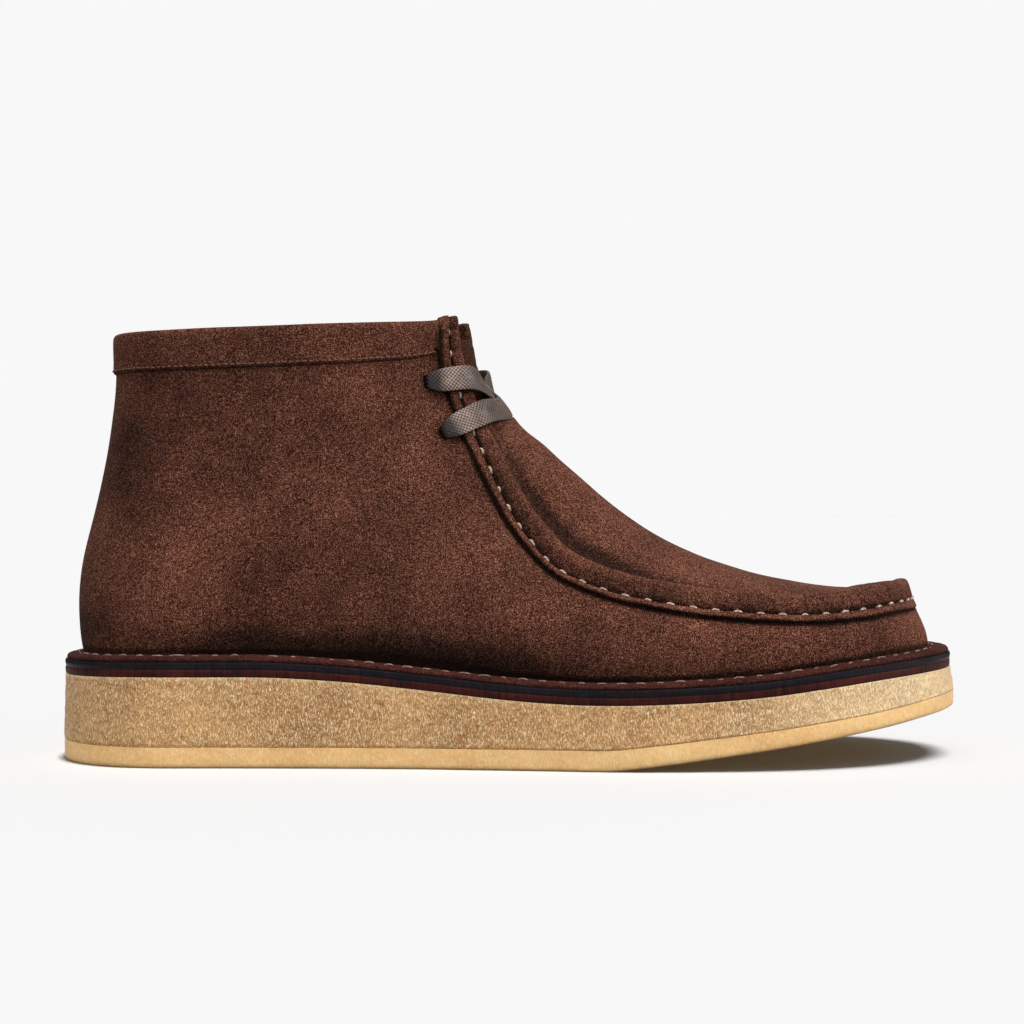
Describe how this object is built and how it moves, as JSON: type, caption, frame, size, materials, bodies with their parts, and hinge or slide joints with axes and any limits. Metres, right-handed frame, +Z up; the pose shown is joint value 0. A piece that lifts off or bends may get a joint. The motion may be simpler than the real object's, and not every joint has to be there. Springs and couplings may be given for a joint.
{
  "type": "desert boot",
  "caption": "Right-foot suede ankle boot with a moccasin-stitched apron, an open collar, a laced throat and a thick crepe wedge sole.",
  "frame": {"origin": "centre of the boot's bounding box at the level of the floor under the sole", "axes": "+X towards the toe, +Y towards the inner side of the right foot, +Z up"},
  "size_m": [0.3, 0.106, 0.1464],
  "materials": {
    "crepe_tread": "smooth pale natural crepe",
    "crepe": "wrinkled natural crepe",
    "maroon_board": "burnished maroon edge",
    "dark_board": "waxed near-black edge",
    "welt_suede": "brown suede",
    "footbed": "smooth tan lining leather",
    "suede": "napped brown suede",
    "tongue_suede": "napped brown suede",
    "lace": "flat woven waxed taupe lace"
  },
  "bodies": {
    "root": {"outsole": "crepe_tread", "crepe_wedge": "crepe", "midsole": "maroon_board", "runner": "dark_board", "welt": "welt_suede", "insole": "footbed", "upper": "suede", "tongue": "tongue_suede", "lace": "lace"}
  },
  "joints": []
}
